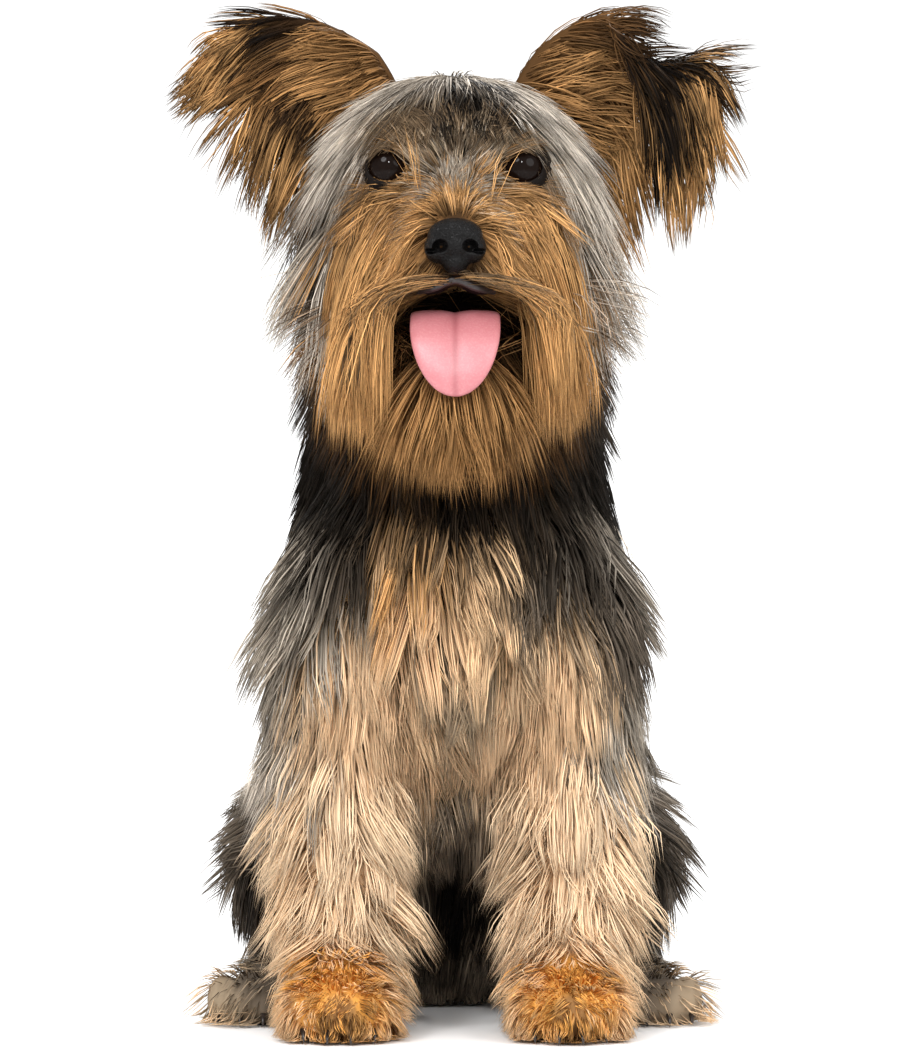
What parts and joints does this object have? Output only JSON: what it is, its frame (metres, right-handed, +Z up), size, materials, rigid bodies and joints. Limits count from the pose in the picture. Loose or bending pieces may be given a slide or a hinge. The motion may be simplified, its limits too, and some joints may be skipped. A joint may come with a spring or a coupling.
{
  "type": "yorkshire terrier",
  "caption": "Life-size still model of a small long-coated terrier, sitting upright with its mouth open and tongue out, the head facing forward.",
  "frame": {"origin": "on the floor, under the middle of the whole dog's box", "axes": "+Z up from the floor, the dog faces -Y, +X is the dog's left side"},
  "size_m": [0.1986, 0.291, 0.3441],
  "materials": {
    "eye": "wet, near-black brown",
    "nose_leather": "moist black",
    "tongue": "moist pink",
    "gold_coat": "long gold to tan hair",
    "ear_coat": "hair, dark brown with a gold fringe",
    "head_coat": "long silver-grey hair streaked with black and tan",
    "paw_coat": "short orange-tan hair",
    "cream_coat": "long cream hair",
    "steel_coat": "long blue-grey hair",
    "black_coat": "long black hair"
  },
  "bodies": {
    "root": {"eye_right": "eye", "eye_left": "eye", "nose": "nose_leather", "tongue": "tongue", "muzzle": "gold_coat", "lower_jaw": "gold_coat", "ear_right": "ear_coat", "ear_left": "ear_coat", "head": "head_coat", "forepaw_right": "paw_coat", "foreleg_right": "cream_coat", "forepaw_left": "paw_coat", "foreleg_left": "cream_coat", "hindpaw_right": "paw_coat", "thigh_right": "steel_coat", "hindpaw_left": "paw_coat", "thigh_left": "steel_coat", "neck": "black_coat", "torso": "steel_coat", "tail": "black_coat"}
  },
  "joints": []
}
